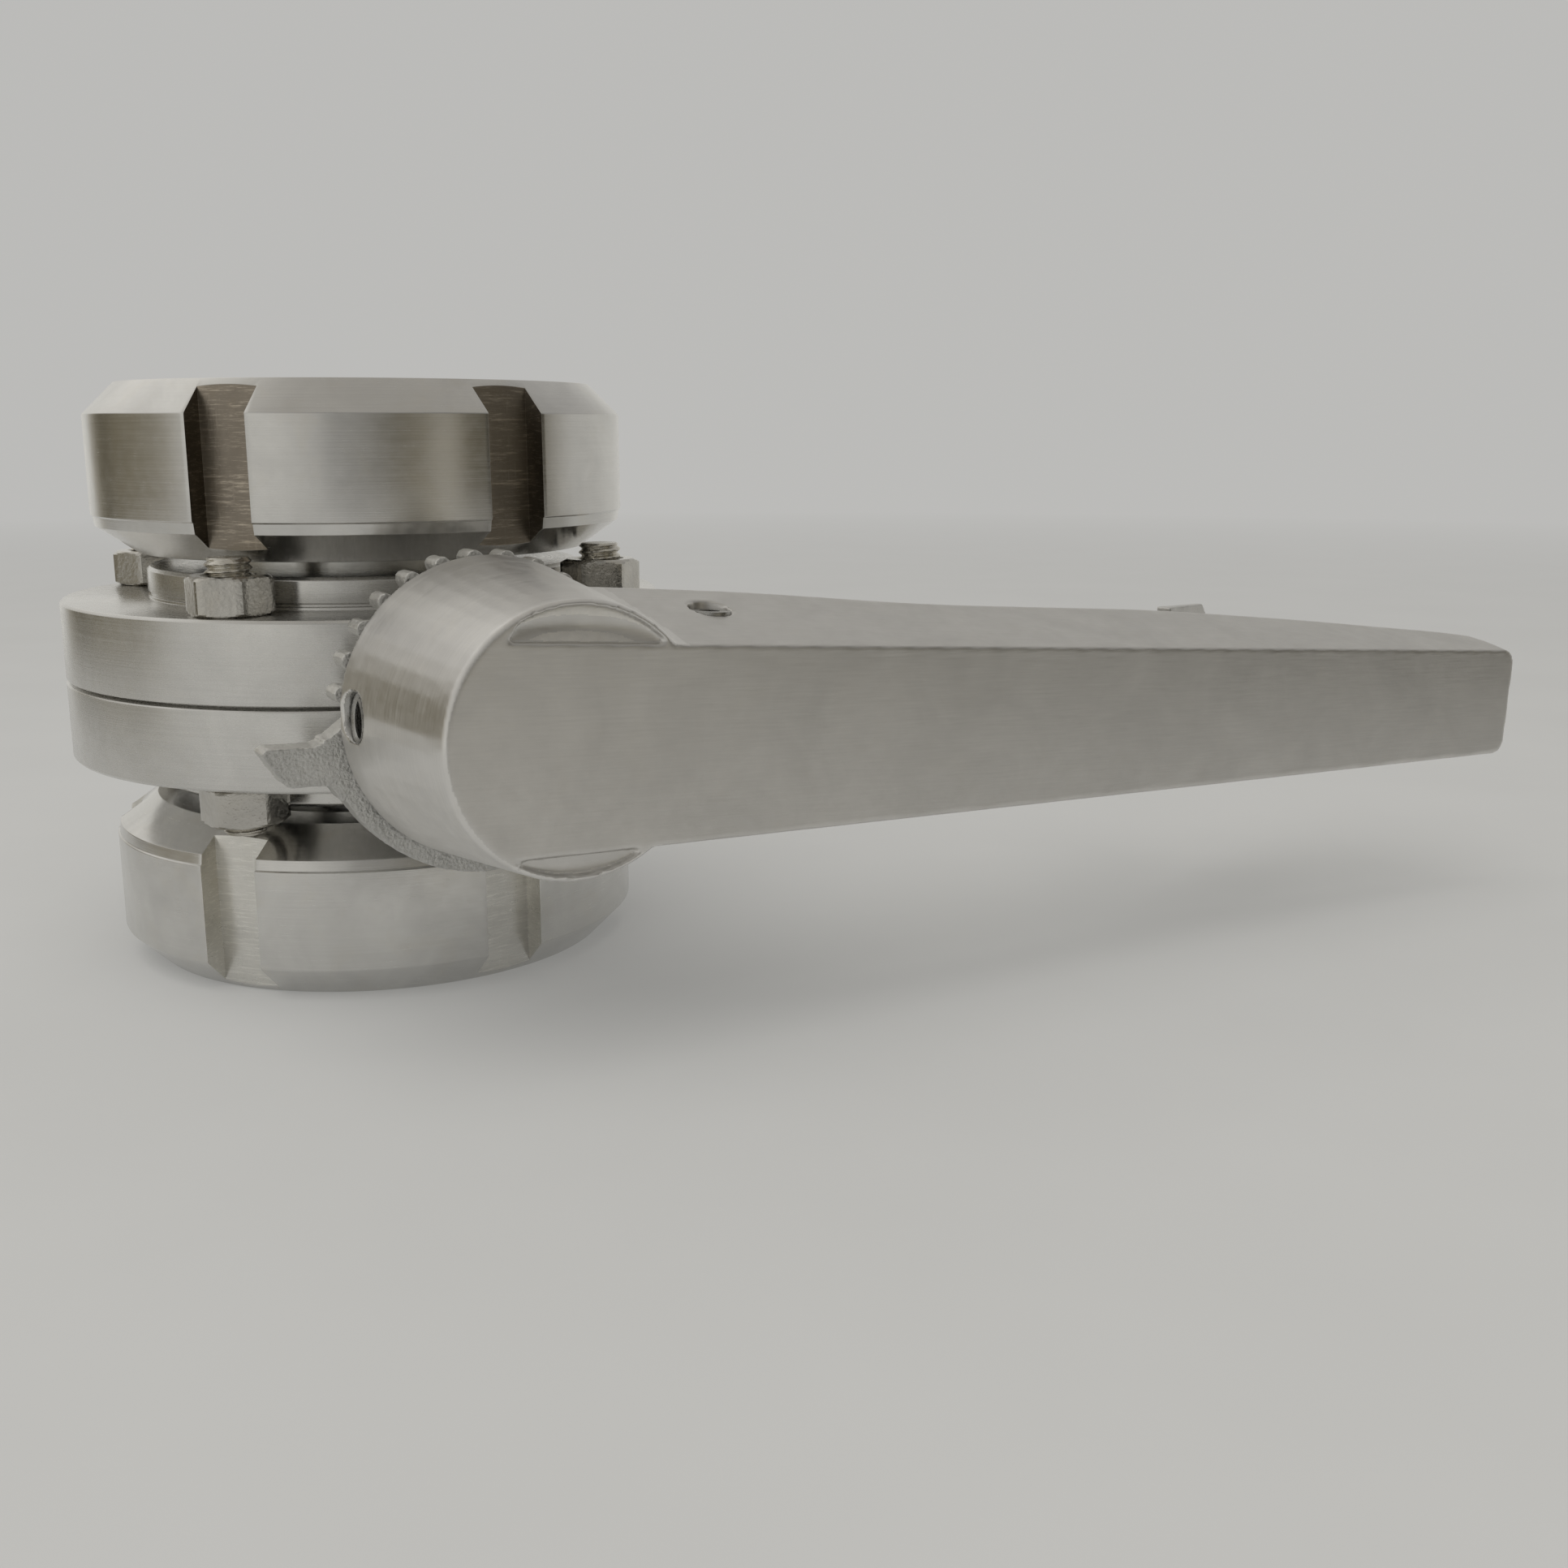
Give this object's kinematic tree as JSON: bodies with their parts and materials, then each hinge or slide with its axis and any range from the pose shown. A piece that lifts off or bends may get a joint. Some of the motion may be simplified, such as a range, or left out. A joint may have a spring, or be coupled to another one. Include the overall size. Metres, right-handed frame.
{
  "type": "sanitary butterfly valve",
  "caption": "Bolted two-piece stainless butterfly valve with slotted union nuts on both ends, a toothed index plate and a long trigger handle.",
  "frame": {"origin": "centre of the disc, where the flow axis meets the stem axis", "axes": "+Z along the flow axis through both union nuts; the stem and handle hub point along -Y; the handle lies near +X when the valve is closed, 3 degrees below it"},
  "size_m": [0.2093, 0.1194, 0.0818],
  "materials": {
    "body_steel": "turned stainless steel, fine lathe lines",
    "liner_steel": "fine turned stainless steel",
    "nut_steel": "turned stainless steel with milled slots",
    "disc_steel": "polished stainless steel",
    "stem_steel": "ground stainless steel",
    "cast_plate": "blasted investment casting, grainy",
    "fastener_steel": "cold-formed stainless steel, worn edges",
    "handle_steel": "satin brushed casting",
    "screw_steel": "stainless machine screw",
    "trigger_steel": "blasted casting",
    "spring_steel": "drawn spring wire",
    "seat_rubber": "moulded elastomer",
    "o_ring_rubber": "moulded elastomer",
    "bush_plastic": "white bearing plastic"
  },
  "bodies": {
    "valve_body": {"upper_body_half": "body_steel", "lower_body_half": "body_steel", "seat_ring": "seat_rubber", "upper_liner": "liner_steel", "lower_liner": "liner_steel", "front_stem_bush": "bush_plastic", "rear_stem_bush": "bush_plastic", "front_stem_o_ring": "o_ring_rubber", "rear_stem_o_ring": "o_ring_rubber", "index_plate": "cast_plate", "body_nuts": "fastener_steel", "body_studs": "fastener_steel"},
    "handle": {"handle_casting": "handle_steel", "drive_stem": "stem_steel", "valve_disc": "disc_steel", "rear_trunnion": "stem_steel", "trigger_pivot_screw": "screw_steel", "hub_grub_screw": "screw_steel", "trigger_spring": "spring_steel"},
    "trigger": {"trigger_lever": "trigger_steel"},
    "upper_nut": {"upper_union_nut": "nut_steel"},
    "lower_nut": {"lower_union_nut": "nut_steel"}
  },
  "joints": [
    {"name": "handle_turn", "type": "hinge", "parent": "valve_body", "child": "handle", "pos_m": [0, 0, 0], "axis": [0, -1, 0], "range_deg": [0, 90]},
    {"name": "trigger_squeeze", "type": "hinge", "parent": "handle", "child": "trigger", "pos_m": [0.02267, -0.064, -0.00119], "axis": [0.0523, 0, 0.9986], "range_deg": [-6, 5.5], "deforming": ["trigger_spring"]},
    {"name": "upper_nut_spin", "type": "hinge", "parent": "valve_body", "child": "upper_nut", "pos_m": [0, 0, 0.03], "axis": [0, 0, 1], "continuous": true},
    {"name": "lower_nut_spin", "type": "hinge", "parent": "valve_body", "child": "lower_nut", "pos_m": [0, 0, -0.03], "axis": [0, 0, 1], "continuous": true}
  ]
}
